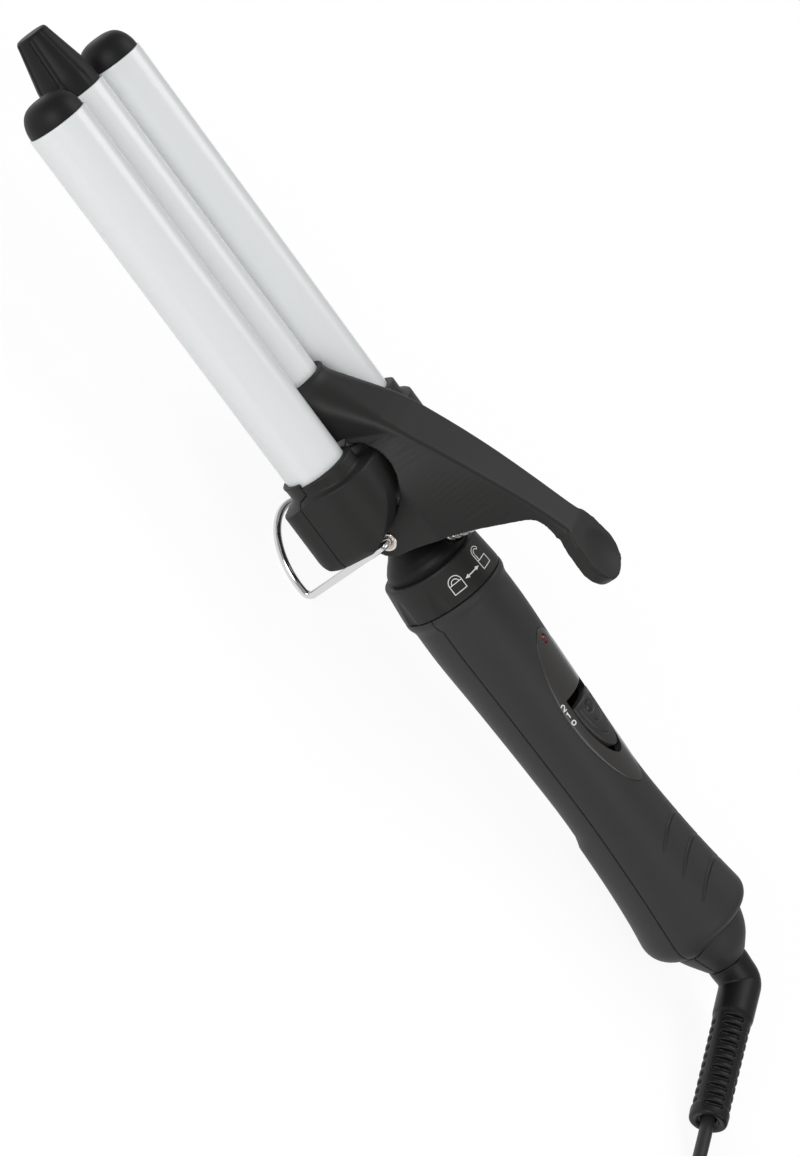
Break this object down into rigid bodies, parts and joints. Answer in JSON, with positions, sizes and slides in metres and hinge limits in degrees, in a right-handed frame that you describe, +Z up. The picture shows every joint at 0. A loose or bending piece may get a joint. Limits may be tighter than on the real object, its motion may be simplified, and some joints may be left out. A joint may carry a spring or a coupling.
{
  "type": "triple-barrel hair waver",
  "caption": "Handheld hair waver with white cylindrical barrels side by side, a sprung thumb lever carrying the middle one, a lock ring, a fold-out wire rest and a swivelling cord.",
  "frame": {"origin": "centre of the tool's bounding box at table height, cord left out", "axes": "+X towards the barrels' tips, +Y towards the tool's left side, +Z up from the table it stands on"},
  "size_m": [0.4626, 0.1861, 0.0822],
  "materials": {
    "body_plastic": "fine satin moulded, near black",
    "gloss_plate": "glossy dark brown-grey",
    "red_lens": "clear red",
    "inner_plastic": "plain moulded",
    "board": "laminate",
    "steel": "plain",
    "wire_chrome": "bright plated wire",
    "rivet_nickel": "warm nickel plate",
    "ceramic_coat": "white glossy ceramic coating over aluminium",
    "bare_aluminium": "extruded",
    "heater_plate": "insulating film",
    "pin_brass": "nickel-plated",
    "cord_jacket": "smooth black jacket",
    "relief_rubber": "smooth moulded, glossy at the elbow"
  },
  "bodies": {
    "handle": {"upper_handle_shell": "body_plastic", "lower_handle_shell": "body_plastic", "handle_screws": "steel", "switch_plate": "gloss_plate", "indicator_lens": "red_lens", "switch_body": "inner_plastic", "circuit_board": "board", "neck": "body_plastic", "jaw_upper": "body_plastic", "jaw_lower": "body_plastic", "jaw_screws": "steel", "left_barrel": "ceramic_coat", "right_barrel": "ceramic_coat", "left_tip_cap": "body_plastic", "right_tip_cap": "body_plastic", "left_heat_spreader": "bare_aluminium", "right_heat_spreader": "bare_aluminium", "left_heater": "heater_plate", "right_heater": "heater_plate", "pivot_rivets": "rivet_nickel", "swivel_bush": "inner_plastic", "lever_spring": "steel", "cord_lead": "cord_jacket", "cord_coil": "cord_jacket", "cord_tail": "cord_jacket", "coil_tie": "inner_plastic", "mains_plug": "cord_jacket", "plug_pins": "pin_brass"},
    "lever": {"lever": "body_plastic", "middle_barrel": "ceramic_coat", "cool_tip": "body_plastic", "middle_heat_spreader": "bare_aluminium", "middle_heater": "heater_plate"},
    "lock_ring": {"lock_ring": "body_plastic"},
    "switch_slider": {"switch_slider": "gloss_plate"},
    "stand": {"wire_stand": "wire_chrome"},
    "swivel": {"strain_relief": "relief_rubber"}
  },
  "joints": [
    {"name": "lever_pivot", "type": "hinge", "parent": "handle", "child": "lever", "pos_m": [-0.00049, 0, 0.03618], "axis": [0, -1, 0], "range_deg": [0, 24], "stiffness_Nm_per_rad": 0.5, "springref_deg": -28.65, "deforming": ["lever_spring"]},
    {"name": "lock_ring_turn", "type": "hinge", "parent": "handle", "child": "lock_ring", "pos_m": [-0.02383, 0, 0.03073], "axis": [0.9969, 0, 0.0785], "range_deg": [0, 30]},
    {"name": "switch_slide", "type": "slide", "parent": "handle", "child": "switch_slider", "axis": [0.9969, 0, 0.0785], "range_m": [-0.0025, 0.0025]},
    {"name": "stand_fold", "type": "hinge", "parent": "handle", "child": "stand", "pos_m": [-0.00049, 0, 0.03618], "axis": [0, 1, 0], "range_deg": [0, 82]},
    {"name": "cord_swivel", "type": "hinge", "parent": "handle", "child": "swivel", "pos_m": [-0.18633, 0, 0.01794], "axis": [0.9969, 0, 0.0785], "continuous": true}
  ]
}
